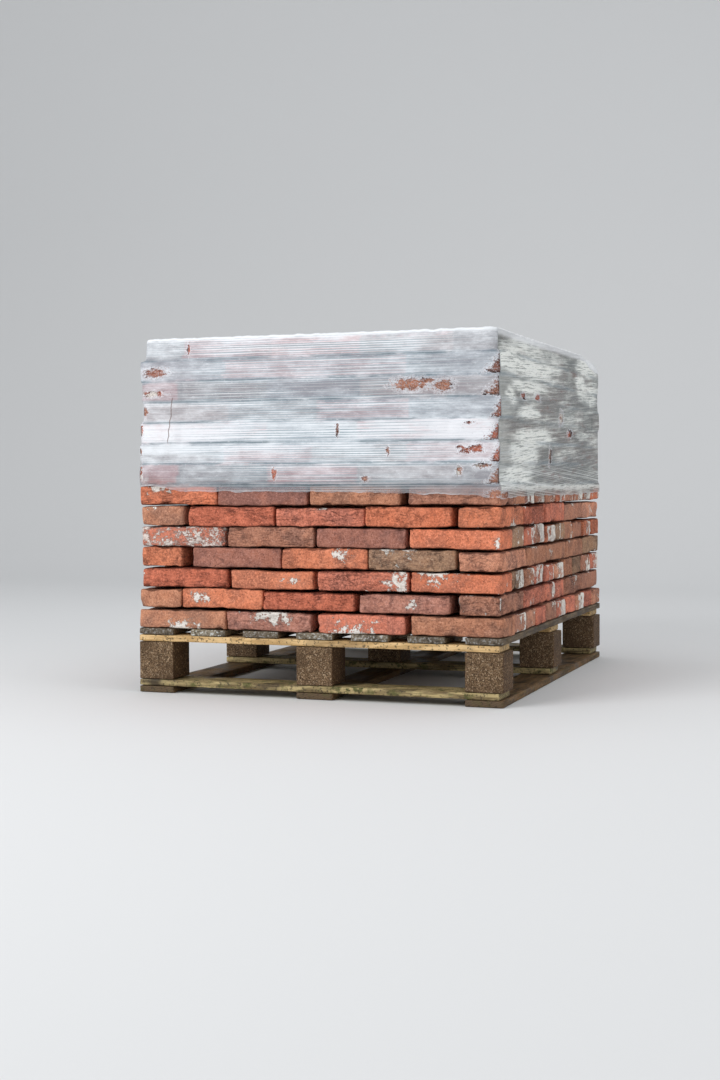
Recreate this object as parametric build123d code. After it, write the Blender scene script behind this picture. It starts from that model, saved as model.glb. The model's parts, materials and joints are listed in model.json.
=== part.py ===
from build123d import *
import math
import os
import random

# A wooden pallet loaded with dry-stacked bricks, its upper half wound in stretch film.
# Millimetres. X runs along the front, Y into the depth, Z up from the floor.
# The origin is on the floor, under the middle of the pallet.

os.makedirs("parts", exist_ok=True)

# Pallet
pallet_width = 1000.0
pallet_depth = 1200.0
board_width = 100.0
deck_board_count = 7
runner_thick = 18.0
base_board_thick = 18.0
stringer_thick = 18.0
deck_board_thick = 18.0
block_width = 100.0
block_depth = 100.0
block_height = 100.0
# The boards across the pallet were cut short and stop this far inside its right-hand edge.
cross_board_short = 10.0

# Bricks
brick_length = 240.0
brick_width = 115.0
brick_thick = 54.0
# The arrises are worn back this far.
brick_arris = 5.0
# Hand-made bricks vary: a tight row is made up of short ones, down to this share of the full size.
shortest_share = 0.97
# How far a brick's length may be off its neighbours', either way.
length_spread = 3.0
# The rough fired faces meet only at their high spots.
bed_seat = 0.3
# Two bricks beside each other leave this much at least, and usually this much.
joint_least = 0.8
joint_usual = 4.0
course_count = 14
# How far the front row's bricks stand back from the pallet's edge, at most.
face_unevenness = 4.0

# Stretch film
film_thick = 1.2
film_gap = 0.5
film_courses = 7.5
film_fold = 100.0
film_corner = 5.0
film_mouth_corner = 60.0

# How far each course stops inside the pallet's left and right edges, from the lowest course up.
course_insets = [
    (0, 0), (0, 6), (8, 6), (6, 2), (8, 5), (8, 5), (0, 2),
    (0, 12), (0, 9), (0, 12), (15, 2), (5, 9), (4, 5), (20, 17),
]

# The front row of the open courses, left to right: how much longer each brick is than the
# others, and how the loose space is shared among the joints.
front_rows = {
    1: ((9, -4, -5, 0), (2, 10, 7)),
    2: ((10, -8, 14, 2, -4), (3, 1, 9, 18)),
    3: ((8, -9, 5, -5), (11, 10, 4)),
    4: ((10, 15, -3, -5, 3), (15, 1, 1, 2)),
    5: ((1, 2, 0, -2), (3, 3, 4)),
    6: ((10, 6, 3, -10, -4), (9, 4, 1, 13)),
    7: ((-16, 12, 4, 3), (4, 8, 27)),
}

# Heights and levels that follow from the sizes above
block_foot = runner_thick + base_board_thick
stringer_foot = block_foot + block_height
deck_foot = stringer_foot + stringer_thick
stack_foot = deck_foot + deck_board_thick
course_pitch = brick_thick + bed_seat
stack_top = stack_foot + course_count * course_pitch
film_foot = stack_top - film_courses * course_pitch
film_room = film_gap + film_thick

rng = random.Random(14)


def spaced(count, low, high, width):
    """The low edges of count things of one width, set evenly from low to high."""
    pitch = (high - low - width) / (count - 1)
    return [low + i * pitch for i in range(count)]


def block(x, y, z, size_x, size_y, size_z):
    """A plain squared piece, from its lowest corner."""
    return Pos(x, y, z) * Box(size_x, size_y, size_z, align=(Align.MIN, Align.MIN, Align.MIN))


def lay(low, high, size, longer=None, shares=None):
    """Lays a row of bricks of about one size from low to high, as (low, high) for each brick."""
    count = int((high - low + joint_least) // (size * shortest_share + joint_least))
    return lay_sizes(low, high, [size] * count, longer, shares)


def lay_sizes(low, high, sizes, longer=None, shares=None):
    """Lays bricks of the sizes given from low to high. What is left over goes to the joints."""
    count = len(sizes)
    if longer is None or len(longer) != count:
        longer = [rng.uniform(-length_spread, length_spread) for _ in sizes]
        shares = [rng.uniform(0.4, 1.6) for _ in sizes[1:]]
    over = sum(sizes) + (count - 1) * joint_usual - (high - low)
    shorter = max(0, over) / count + sum(longer) / count
    lengths = [size + more - shorter for size, more in zip(sizes, longer)]
    loose = high - low - sum(lengths) - (count - 1) * joint_least
    joints = [joint_least + loose * share / sum(shares) for share in shares] + [0]
    edges, start = [], low
    for length, joint in zip(lengths, joints):
        edges.append((start, start + length))
        start += length + joint
    return edges


def brick(x_span, y_span, level):
    """A worn brick that fills a place in a course, turned by as much as its joints allow."""
    size_x, size_y = x_span[1] - x_span[0], y_span[1] - y_span[0]
    turn = rng.uniform(-1, 1) * joint_least / max(size_x, size_y)
    body = Box(size_x, size_y, brick_thick, align=(Align.CENTER, Align.CENTER, Align.MIN))
    body = chamfer(body.edges(), brick_arris)
    foot = stack_foot + bed_seat + level * course_pitch
    return Pos(sum(x_span) / 2, sum(y_span) / 2, foot) * Rot(0, 0, math.degrees(turn)) * body


def is_wrapped(level):
    return stack_foot + (level + 1) * course_pitch > film_foot


def course_limits(level):
    """Where a course stops: its left, right, front and back."""
    left, right = course_insets[level % len(course_insets)]
    room = joint_least + (film_room if is_wrapped(level) else 0)
    half_width, half_depth = pallet_width / 2 - room, pallet_depth / 2 - room
    return left - half_width, half_width - right, -half_depth, half_depth


def outer_span(low, high, at_low):
    """A brick's place between low and high, standing back a little from the outer edge."""
    back = rng.uniform(0, face_unevenness)
    return (low + back, high) if at_low else (low, high - back)


def stretcher_course(level):
    """Bricks along the front. Returns what shows of them, and the hollow left for the core."""
    left, right, front, back = course_limits(level)
    shown = []
    for at_front in (True, False):
        longer, shares = front_rows.get(level + 1, (None, None)) if at_front else (None, None)
        low = front if at_front else back - brick_width
        for x_span in lay(left, right, brick_length, longer, shares):
            shown.append(brick(x_span, outer_span(low, low + brick_width, at_front), level))
    inner_front, inner_back = front + brick_width + joint_usual, back - brick_width - joint_usual
    for at_left in (True, False):
        low = left if at_left else right - brick_length
        for y_span in lay(inner_front, inner_back, brick_width):
            shown.append(brick(outer_span(low, low + brick_length, at_left), y_span, level))
    hollow = (
        left + brick_length + joint_usual, right - brick_length - joint_usual, inner_front, inner_back,
    )
    return shown, hollow


def turned_course(level):
    """Turned bricks at both ends, and rows along the front between them."""
    left, right, front, back = course_limits(level)
    longer, shares = front_rows.get(level + 1, (None, None))
    middle = lay(left + brick_width + joint_usual, right - brick_width - joint_usual, brick_length)
    sizes = [brick_width] + [brick_length] * len(middle) + [brick_width]
    front_row = lay_sizes(left, right, sizes, longer, shares)
    back_row = lay_sizes(left, right, sizes)
    shown = []
    for x_span in front_row[1:-1]:
        shown.append(brick(x_span, outer_span(front, front + brick_width, True), level))
    for x_span in back_row[1:-1]:
        shown.append(brick(x_span, outer_span(back - brick_width, back, False), level))
    for column, at_left in ((0, True), (-1, False)):
        places = lay(front, back, brick_length)
        for number, y_span in enumerate(places):
            x_span = (left, left + brick_width) if at_left else (right - brick_width, right)
            if number == 0:
                x_span = front_row[column]
            elif number == len(places) - 1:
                x_span = back_row[column]
            shown.append(brick(outer_span(*x_span, at_left), y_span, level))
    hollow = (
        max(front_row[0][1], back_row[0][1], left + brick_width) + joint_usual,
        min(front_row[-1][0], back_row[-1][0], right - brick_width) - joint_usual,
        front + brick_width + joint_usual, back - brick_width - joint_usual,
    )
    return shown, hollow


def top_bricks(level, hollow):
    """The rows in the middle of the top course, which nothing hides."""
    left, right, front, back = hollow
    rows = []
    for y_span in lay(front, back, brick_width):
        rows += [brick(x_span, y_span, level) for x_span in lay(left, right, brick_length)]
    return rows


def stretch_film(wrapped, lost):
    """The film as one thin band round the wrapped courses, folded flat over the top edge.

    Where the corner brick of the top course is lost, it slopes down to the course below.
    """
    box = Compound(wrapped).bounding_box()
    middle = ((box.min.X + box.max.X) / 2, (box.min.Y + box.max.Y) / 2)

    def outline(grow, corner):
        return Pos(*middle) * RectangleRounded(box.size.X + 2 * grow, box.size.Y + 2 * grow, corner)

    height = stack_top + film_room - film_foot
    band = extrude(outline(film_room, film_corner + film_thick), height)
    hollow = extrude(outline(film_gap, film_corner), height - film_thick)
    mouth = extrude(outline(-film_fold, film_mouth_corner), height)
    edge_x, edge_y = box.max.X + film_room, box.max.Y + film_room
    beside = Vector(edge_x, lost.bounding_box().min.Y, stack_top + film_room)
    behind = Vector(lost.bounding_box().min.X, edge_y, stack_top + film_room)
    below = Vector(edge_x, edge_y, stack_top - course_pitch + film_room)
    outward = (behind - beside).cross(below - beside)
    outward = (outward if outward.Z > 0 else -outward).normalized()
    slope = Plane(origin=beside, z_dir=outward)
    inner_slope = Plane(origin=beside - outward * film_thick, z_dir=outward)
    band = split(Pos(0, 0, film_foot) * band, bisect_by=slope, keep=Keep.BOTTOM)
    hollow = split(Pos(0, 0, film_foot) * hollow, bisect_by=inner_slope, keep=Keep.BOTTOM)
    return band - hollow - Pos(0, 0, film_foot) * mouth


parts = {}
half_width, half_depth = pallet_width / 2, pallet_depth / 2
cross_length = pallet_width - cross_board_short
columns = spaced(3, -half_width, half_width, block_width)
rows = spaced(3, -half_depth, half_depth, block_depth)

for number, x in enumerate(spaced(deck_board_count, -half_width, half_width, board_width), 1):
    parts[f"deck_board_{number}"] = block(
        x, -half_depth, deck_foot, board_width, pallet_depth, deck_board_thick
    )

cross_places = spaced(3, -half_depth, half_depth, board_width)
for place, y in zip(("front", "middle", "back"), cross_places):
    parts[f"stringer_{place}"] = block(
        -half_width, y, stringer_foot, cross_length, board_width, stringer_thick
    )
    parts[f"base_board_{place}"] = block(
        -half_width, y, runner_thick, cross_length, board_width, base_board_thick
    )

for row_name, y in zip(("front", "middle", "back"), rows):
    for column_name, x in zip(("left", "middle", "right"), columns):
        parts[f"block_{row_name}_{column_name}"] = block(
            x, y, block_foot, block_width, block_depth, block_height
        )

for side, x in zip(("left", "middle", "right"), spaced(3, -half_width, half_width, board_width)):
    parts[f"runner_{side}"] = block(x, -half_depth, 0, board_width, pallet_depth, runner_thick)

core_layers, wrapped = [], []
for level in range(course_count):
    lay_course = turned_course if level % 2 else stretcher_course
    shown, (left, right, front, back) = lay_course(level)
    if level == course_count - 1:
        shown += top_bricks(level, (left, right, front, back))
        # The brick at the back right corner of the top course is lost.
        lost = max(shown, key=lambda brick: brick.center().X + brick.center().Y)
        shown.remove(lost)
    else:
        foot = stack_foot + level * course_pitch + (bed_seat if level == 0 else 0)
        height = stack_foot + (level + 1) * course_pitch - foot
        core_layers.append(block(left, front, foot, right - left, back - front, height))
    if is_wrapped(level):
        wrapped += shown
    parts[f"brick_course_{level + 1:02d}"] = Compound(shown)

core = core_layers[0]
for layer in core_layers[1:]:
    core += layer
parts["brick_core"] = core
parts["stretch_film"] = stretch_film(wrapped, lost)

for name, shape in parts.items():
    export_step(shape, f"parts/{name}.step")
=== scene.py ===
import json
import math
import random

import bmesh
import bpy
import numpy as np
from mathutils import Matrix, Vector, geometry, noise
from mathutils.bvhtree import BVHTree

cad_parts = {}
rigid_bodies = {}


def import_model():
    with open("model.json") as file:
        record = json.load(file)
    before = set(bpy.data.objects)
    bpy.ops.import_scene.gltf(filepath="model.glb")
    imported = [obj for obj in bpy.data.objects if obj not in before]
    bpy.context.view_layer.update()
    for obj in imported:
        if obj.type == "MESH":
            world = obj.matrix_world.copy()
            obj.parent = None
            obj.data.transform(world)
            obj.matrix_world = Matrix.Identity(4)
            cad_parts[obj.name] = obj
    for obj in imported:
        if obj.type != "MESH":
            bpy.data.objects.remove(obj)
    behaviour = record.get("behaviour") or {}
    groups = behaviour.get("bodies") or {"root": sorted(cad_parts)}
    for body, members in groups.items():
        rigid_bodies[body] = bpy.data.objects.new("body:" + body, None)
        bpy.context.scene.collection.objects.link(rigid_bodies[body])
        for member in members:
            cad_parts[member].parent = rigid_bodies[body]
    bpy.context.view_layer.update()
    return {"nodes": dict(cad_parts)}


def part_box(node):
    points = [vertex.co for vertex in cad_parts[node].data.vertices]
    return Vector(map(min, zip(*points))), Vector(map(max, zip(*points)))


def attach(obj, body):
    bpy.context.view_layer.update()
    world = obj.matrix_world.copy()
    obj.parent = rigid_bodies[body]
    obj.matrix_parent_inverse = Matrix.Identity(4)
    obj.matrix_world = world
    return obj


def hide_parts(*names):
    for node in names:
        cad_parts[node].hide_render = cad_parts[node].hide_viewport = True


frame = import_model()

# Boards of the pallet
# Sawn softwood boards, nailed across each other: deck boards under the bricks, stringers under
# those, and base boards and runners below the blocks. Damp, with moss on their outer edges.


def both_ways(operation):
    """Two methods of a wire: one that puts it first in a sum, and one that puts it second."""
    return (
        lambda wire, other: wire.graph.sum(operation, wire, other),
        lambda wire, other: wire.graph.sum(operation, other, wire),
    )


class Wire:
    """A socket of a node tree. Arithmetic on it adds Math or Vector Math nodes."""

    __add__, __radd__ = both_ways("ADD")
    __sub__, __rsub__ = both_ways("SUBTRACT")
    __mul__, __rmul__ = both_ways("MULTIPLY")
    __truediv__, __pow__ = both_ways("DIVIDE")[0], both_ways("POWER")[0]
    least, most = both_ways("MINIMUM")[0], both_ways("MAXIMUM")[0]

    def __init__(self, graph, socket):
        self.graph, self.socket = graph, socket

    def __abs__(self):
        return self.graph.sum("ABSOLUTE", self)

    def ramp(self, low, high):
        """0 before low, 1 past high and a smooth change between. low may be above high."""
        inputs = {"Value": self, "From Min": low, "From Max": high}
        return self.graph.add("ShaderNodeMapRange", {"interpolation_type": "SMOOTHSTEP"}, inputs)


class Graph:
    """A node tree, with one method that adds a node, one that does sums and one that mixes."""

    def __init__(self, tree):
        self.tree = tree

    def add(self, kind, settings=None, inputs=None, output=0):
        node = self.tree.nodes.new(kind)
        for name, value in (settings or {}).items():
            setattr(node, name, value)
        for name, value in (inputs or {}).items():
            self.feed(next(s for s in node.inputs if name in (s.identifier, s.name)), value)
        if not node.outputs:
            return node
        if isinstance(output, str):
            output = [output in (s.identifier, s.name) for s in node.outputs].index(True)
        return Wire(self, node.outputs[output])

    def feed(self, socket, value):
        if isinstance(value, Wire):
            self.tree.links.new(value.socket, socket)
        elif socket.type == "RGBA" and len(value) == 3:
            socket.default_value = (*value, 1)
        elif socket.type == "VECTOR" and not hasattr(value, "__len__"):
            socket.default_value = (value, value, value)
        else:
            socket.default_value = value

    def sum(self, operation, first, second=None, output=0):
        known = [v for v in (first, second) if v is not None]
        types = [v.socket.type for v in known if isinstance(v, Wire)]
        has_vector = "VECTOR" in types or "RGBA" in types or any(isinstance(v, tuple) for v in known)
        node = self.tree.nodes.new("ShaderNodeVectorMath" if has_vector else "ShaderNodeMath")
        node.operation = operation
        for socket, value in zip(node.inputs, known):
            self.feed(socket, value)
        return Wire(self, node.outputs[output])

    def mix(self, share, first, second):
        """Two colours mixed: all first where share is 0, and all second where it is 1."""
        inputs = {"Factor_Float": share, "A_Color": first, "B_Color": second}
        return self.add("ShaderNodeMix", {"data_type": "RGBA"}, inputs, "Result_Color")

    def layers(self, colour, *coats):
        """A colour under coats of others, each given with its share."""
        for share, coat in coats:
            colour = self.mix(share, colour, coat)
        return colour

    def noise(self, place, scale, detail=3, roughness=0.55, distortion=0, output=0):
        inputs = {
            "Vector": place, "Scale": scale, "Detail": detail,
            "Roughness": roughness, "Distortion": distortion,
        }
        return self.add("ShaderNodeTexNoise", None, inputs, output)

    def split(self, vector):
        """The three numbers of a vector."""
        node = self.tree.nodes.new("ShaderNodeSeparateXYZ")
        self.feed(node.inputs[0], vector)
        return [Wire(self, s) for s in node.outputs]

    def join(self, x, y, z):
        return self.add("ShaderNodeCombineXYZ", None, {"X": x, "Y": y, "Z": z})

    def shifted(self, point, seed):
        """A point moved elsewhere in the noise, to a place that differs with the seed."""
        return point + self.join(seed * 3.1, seed * 1.7, seed * 2.3)


class Finish(Graph):
    """A material."""

    def __init__(self, name):
        self.material = bpy.data.materials.new(name)
        self.material.use_nodes = True
        super().__init__(self.material.node_tree)
        self.tree.nodes.clear()

    def read(self, attribute, output="Vector"):
        return self.add("ShaderNodeAttribute", {"attribute_name": attribute}, None, output)

    def on_worn(self):
        """On a worn solid: the place in the noise, the place in the unit box and the seed."""
        seed = self.read("seed", "Fac")
        return self.shifted(self.read("local"), seed), self.read("unit"), seed

    def bump(self, height, distance, strength=1.0):
        inputs = {"Height": height, "Distance": distance, "Strength": strength}
        return self.add("ShaderNodeBump", None, inputs)

    def shade(self, **inputs):
        """Ends the material in one Principled shader."""
        named = {key.replace("_", " "): value for key, value in inputs.items()}
        skin = self.add("ShaderNodeBsdfPrincipled", None, named)
        self.add("ShaderNodeOutputMaterial", None, {"Surface": skin})
        return self.material


def show(name, data):
    """A new object in the scene."""
    item = bpy.data.objects.new(name, data)
    bpy.context.scene.collection.objects.link(item)
    return item


def point_tree(name, kinds):
    """A tree that works on points: its graph, its inputs as wires and their identifiers."""
    tree = bpy.data.node_groups.new(name, "GeometryNodeTree")
    sockets = {}
    for key, kind in {"Geometry": "Geometry", **kinds}.items():
        socket = tree.interface.new_socket(key, in_out="INPUT", socket_type=f"NodeSocket{kind}")
        sockets[key] = socket.identifier
    tree.interface.new_socket("Geometry", in_out="OUTPUT", socket_type="NodeSocketGeometry")
    g = Graph(tree)
    entry = tree.nodes.new("NodeGroupInput")
    return g, {s.name: Wire(g, s) for s in entry.outputs if s.name}, sockets


def set_on(g, points, shape):
    """A copy of a shape on each point."""
    copies = g.add("GeometryNodeInstanceOnPoints", None, {"Points": points, "Instance": shape})
    return g.add("GeometryNodeRealizeInstances", None, {"Geometry": copies})


def leave(g, geometry, finish):
    """Ends a tree, with all it made in one material."""
    geometry = g.add("GeometryNodeSetMaterial", None, {"Geometry": geometry, "Material": finish})
    g.feed(g.tree.nodes.new("NodeGroupOutput").inputs["Geometry"], geometry)


def grow(name, mesh, tree, values):
    """A piece whose mesh is what a tree makes of a mesh of points."""
    piece = show(name, mesh)
    tool = piece.modifiers.new("grown", "NODES")
    tool.node_group = tree
    for key, value in values.items():
        tool[key] = value
    view = bpy.context.evaluated_depsgraph_get()
    plain = bpy.data.meshes.new_from_object(
        piece.evaluated_get(view), preserve_all_data_layers=True, depsgraph=view
    )
    piece.modifiers.clear()
    piece.data = plain
    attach(piece, "root")
    return piece


def worn_tree():
    """A tree that turns points into worn solids: finely divided boxes, rubbed, chipped and bowed.

    Each point stands at the middle of its solid and carries its size, turn and seed.
    """
    kinds = {"Finish": "Material", "Steps Along": "Int", "Steps Across": "Int", "Steps Up": "Int"}
    for name in ("Arris", "Chips", "Bow", "Lean", "Wave", "Wave Scale", "Grit", "Inset"):
        kinds[name] = "Float"
    g, given, sockets = point_tree("worn solids", kinds)

    def named(name, kind="FLOAT_VECTOR"):
        return g.add("GeometryNodeInputNamedAttribute", {"data_type": kind}, {"Name": name}, "Attribute")

    def keep(geometry, name, value):
        settings = {"data_type": "FLOAT_VECTOR", "domain": "POINT"}
        inputs = {"Geometry": geometry, "Name": name, "Value": value}
        return g.add("GeometryNodeStoreNamedAttribute", settings, inputs)

    position = g.add("GeometryNodeInputPosition")
    points = g.add("GeometryNodeMeshToPoints", None, {"Mesh": given["Geometry"]})
    points = keep(points, "place", position)
    steps = {"Vertices X": given["Steps Along"], "Vertices Y": given["Steps Across"]}
    steps["Vertices Z"] = given["Steps Up"]
    box = g.add("GeometryNodeMeshCube", None, {"Size": 1, **steps})
    box = keep(box, "unit", position)
    solids = set_on(g, points, box)

    unit, seed = named("unit"), named("seed", "FLOAT")
    half = named("size") * 0.5 - given["Inset"]
    share = unit * 2
    # The grid is drawn closer together towards the edges, where the wear is.
    spread = g.sum("SIGN", share) * (1 - (1 - abs(share)) ** (1.5, 1.5, 1.5))
    point = spread * half
    place = g.shifted(point, seed)

    rub, chip = g.noise(place, 30, 2), g.noise(place, 24, 3, 0.6)
    half_x, half_y, half_z = g.split(half)
    radius = given["Arris"] * (0.45 + 1.1 * rub) + given["Chips"] * chip.ramp(0.56, 0.72)
    radius = radius.least(half_z * 0.9).least(half_y * 0.9)
    inner = point.least(half - radius).most(radius - half)
    away = point - inner
    pull = radius / g.sum("LENGTH", away, output=1).most(1e-6)
    point = inner + away * pull

    lift, swing, lean = g.split(g.noise(g.join(seed * 7.7, 0.5, 0.5), 1, 0, output="Color"))
    reach = g.split(point)[0] / half_x
    bow = (1 - reach * reach) * given["Bow"]
    lean = (lean - 0.5) * 2 * reach * given["Lean"]
    broad = g.noise(place, given["Wave Scale"], 1, output="Color") - 0.5
    grit = g.noise(place, 70, 2, output="Color") - 0.5
    point = point + g.join(0, (swing - 0.5) * bow, (lift - 0.5) * bow + lean)
    point = point + broad * (given["Wave"] * 2) + grit * (given["Grit"] * 2)

    solids = keep(solids, "local", point)
    turn = {"Vector": point, "Angle": named("turn", "FLOAT")}
    turned = g.add("ShaderNodeVectorRotate", {"rotation_type": "Z_AXIS"}, turn)
    moved = {"Geometry": solids, "Position": named("place") + turned}
    solids = g.add("GeometryNodeSetPosition", None, moved)
    solids = g.add("GeometryNodeSetShadeSmooth", None, {"Geometry": solids})
    leave(g, solids, given["Finish"])
    return g.tree, sockets


worn_solids, worn_sockets = worn_tree()


def solids_of(node):
    """The middle, size and turn of each separate solid of a CAD node, along its own length."""
    mesh = bmesh.new()
    mesh.from_mesh(frame["nodes"][node].data)
    bmesh.ops.remove_doubles(mesh, verts=mesh.verts, dist=1e-6)
    mesh.faces.index_update()
    left, found = set(mesh.verts), []
    while left:
        group, edge = set(), [left.pop()]
        while edge:
            corner = edge.pop()
            group.add(corner)
            near = {e.other_vert(corner) for e in corner.link_edges} & left
            left -= near
            edge += near
        upright = {f for v in group for f in v.link_faces if abs(f.normal.z) < 0.1}
        side = max(upright, key=lambda f: (f.calc_area(), f.index)).normal
        along = Vector((-side.y, side.x, 0)).normalized()
        along = along if along.x + along.y > 0 else -along
        across = Vector((-along.y, along.x, 0))
        spans = [[v.co.dot(way) for v in group] for way in (along, across, Vector((0, 0, 1)))]
        size = [max(span) - min(span) for span in spans]
        middle = [(max(span) + min(span)) / 2 for span in spans]
        place = along * middle[0] + across * middle[1] + Vector((0, 0, middle[2]))
        found.append({"place": place, "size": Vector(size), "turn": math.atan2(along.y, along.x)})
    mesh.free()
    return found


def note(mesh, name, values):
    """Writes down a number or a vector for each point of a mesh."""
    has_vectors = values.size > len(mesh.vertices)
    kind, field = ("FLOAT_VECTOR", "vector") if has_vectors else ("FLOAT", "value")
    mesh.attributes.new(name, kind, "POINT").data.foreach_set(field, values.ravel())


def wear(name, solids, node, slot, finish, steps, **amounts):
    """Makes the worn solids of a node, as one piece that stands for it."""
    mesh = bpy.data.meshes.new(name)
    mesh.from_pydata([s["place"] for s in solids], [], [])
    for key in (k for k in solids[0] if k != "place"):
        note(mesh, key, np.array([s[key] for s in solids], float))
    amounts |= zip(("steps_along", "steps_across", "steps_up"), steps)
    settings = {worn_sockets[key.replace("_", " ").title()]: value for key, value in amounts.items()}
    piece = grow(name, mesh, worn_solids, {worn_sockets["Finish"]: finish, **settings})
    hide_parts(node)


def wood(name, pale, dark, edge, moss, wet, vary=0):
    """Sawn softwood: grain along the board, rings on its ends, a weathered edge, moss and damp."""
    f = Finish(name)
    place, unit, seed = f.on_worn()
    warp = f.noise(place, 6, 2, output="Color") - 0.5
    rings = f.noise((place + warp * 0.02) * (1, 9, 9), 9, 4, 0.6)
    fibre = f.noise(place * (6, 110, 110), 3, 4, 0.7)
    saw = f.noise(place * (140, 6, 6), 1, 2)
    blotch, green, speck = f.noise(place, 11, 4, 0.6), f.noise(place, 34, 4, 0.7), f.noise(place, 160, 2)
    ends = abs(f.split(unit)[0]).ramp(0.492, 0.4995)
    heart = f.sum("LENGTH", (place + (0, -0.02, 0.06)) * (0, 1, 1.3), output=1)
    year = f.sum("SINE", heart * 900 + rings * 6) * 0.5 + 0.5
    colour = f.layers(
        f.mix(f.mix(ends, rings.ramp(0.42, 0.62), year), pale, dark),
        (fibre.ramp(0.45, 0.7) * 0.45, dark),
        (ends * 0.55, edge),
        (blotch.ramp(0.5, 0.66) * wet, (0.035, 0.022, 0.012)),
        (green.ramp(0.5, 0.62) * blotch.ramp(0.62, 0.4) * moss, (0.075, 0.085, 0.022)),
        (speck.ramp(0.57, 0.63) * 0.7, (0.03, 0.022, 0.014)),
        (speck.ramp(0.46, 0.38) * ends * (vary * 0.65), (0.52, 0.52, 0.48)),
    )
    tone = f.noise(f.join(seed * 9.1, 2.2, 4.4), 1, 0).ramp(0.36, 0.64)
    toned = f.mix(tone, colour * (0.62, 0.6, 0.62), colour * (1.3, 1.36, 1.45))
    height = fibre * 0.5 + saw * 0.25 + rings * 0.25
    return f.shade(
        Base_Color=f.mix(vary, colour, toned), Roughness=0.82 - wet * 0.35 * blotch.ramp(0.42, 0.6),
        Specular_IOR_Level=0.3, Normal=f.bump(height, 0.0016, 0.8),
    )


deck_wood = wood("deck wood", (0.3, 0.22, 0.13), (0.12, 0.085, 0.05), (0.19, 0.165, 0.125), 0.15, 0.6, 1.0)
stringer_wood = wood("stringer wood", (0.78, 0.54, 0.27), (0.52, 0.33, 0.14), (0.45, 0.32, 0.17), 0.1, 0.35)
base_wood = wood("base wood", (0.52, 0.41, 0.2), (0.17, 0.12, 0.055), (0.24, 0.2, 0.11), 0.9, 0.9)
runner_wood = wood("runner wood", (0.2, 0.115, 0.05), (0.085, 0.05, 0.022), (0.1, 0.075, 0.05), 0.4, 0.8)

board_shape = dict(
    steps=(44, 8, 5), arris=0.0016, chips=0.004, bow=0.0015,
    wave=0.0006, wave_scale=7.0, grit=0.0005, inset=0.0007,
)
places, columns = ("front", "middle", "back"), ("left", "middle", "right")
boards = [(f"deck_board_{n}", "deck_board", deck_wood) for n in range(1, 8)]
boards += [(f"stringer_{place}", "stringer", stringer_wood) for place in places]
boards += [(f"base_board_{place}", "base_wood", base_wood) for place in places]
boards += [(f"runner_{side}", "base_wood", runner_wood) for side in columns]
seed_step = 1.37
for number, (node, slot, finish) in enumerate(boards):
    solids = solids_of(node)
    for solid in solids:
        solid["seed"] = seed_step * number
    wear(f"{node}_wood", solids, node, slot, finish, **board_shape)

# Nails
# Wire nails driven flush, two where a deck board crosses a stringer and three where a runner
# crosses a base board. Bare steel gone dull and brown in the wet.

nails, sunk_head = [], 0.0006
for n in range(1, 8):
    for place in places:
        board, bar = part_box(f"deck_board_{n}"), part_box(f"stringer_{place}")
        x, y = (board[0].x + board[1].x) / 2, (bar[0].y + bar[1].y) / 2
        nails += [(x + side * 0.024, y - side * 0.026, board[1].z - sunk_head) for side in (-1, 1)]
for side in columns:
    for place in places:
        board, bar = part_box(f"runner_{side}"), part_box(f"base_board_{place}")
        x, y = (board[0].x + board[1].x) / 2, (bar[0].y + bar[1].y) / 2
        nails += [(x + step * 0.026, y + abs(step) * 0.028, board[0].z + sunk_head) for step in (-1, 0, 1)]


def nail_tree(finish):
    """A tree that sets a round nail head on each point."""
    g, given, sockets = point_tree("nail heads", {"Head Radius": "Float", "Head Depth": "Float"})
    points = g.add("GeometryNodeMeshToPoints", None, {"Mesh": given["Geometry"]})
    size = {"Vertices": 12, "Radius": given["Head Radius"], "Depth": given["Head Depth"]}
    leave(g, set_on(g, points, g.add("GeometryNodeMeshCylinder", None, size)), finish)
    return g.tree, sockets


steel = Finish("dull nail steel")
spot = steel.add("ShaderNodeTexCoord", output="Object")
rust = steel.noise(spot, 420, 3, 0.65).ramp(0.42, 0.58)
nail_steel = steel.shade(
    Base_Color=steel.mix(rust, (0.34, 0.33, 0.31), (0.22, 0.09, 0.035)), Roughness=0.42 + rust * 0.4,
    Metallic=0.9 - rust * 0.8,
)
mesh = bpy.data.meshes.new("nails")
mesh.from_pydata(nails, [], [])
nail_heads, nail_sockets = nail_tree(nail_steel)
grow("nails", mesh, nail_heads, {nail_sockets["Head Radius"]: 0.0042, nail_sockets["Head Depth"]: 0.0007})

# Blocks of the pallet
# Nine blocks of wood chips pressed with glue, nailed between the stringers and the base boards.
# Brown and damp, with pale chips showing and crumbled arrises.


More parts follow.
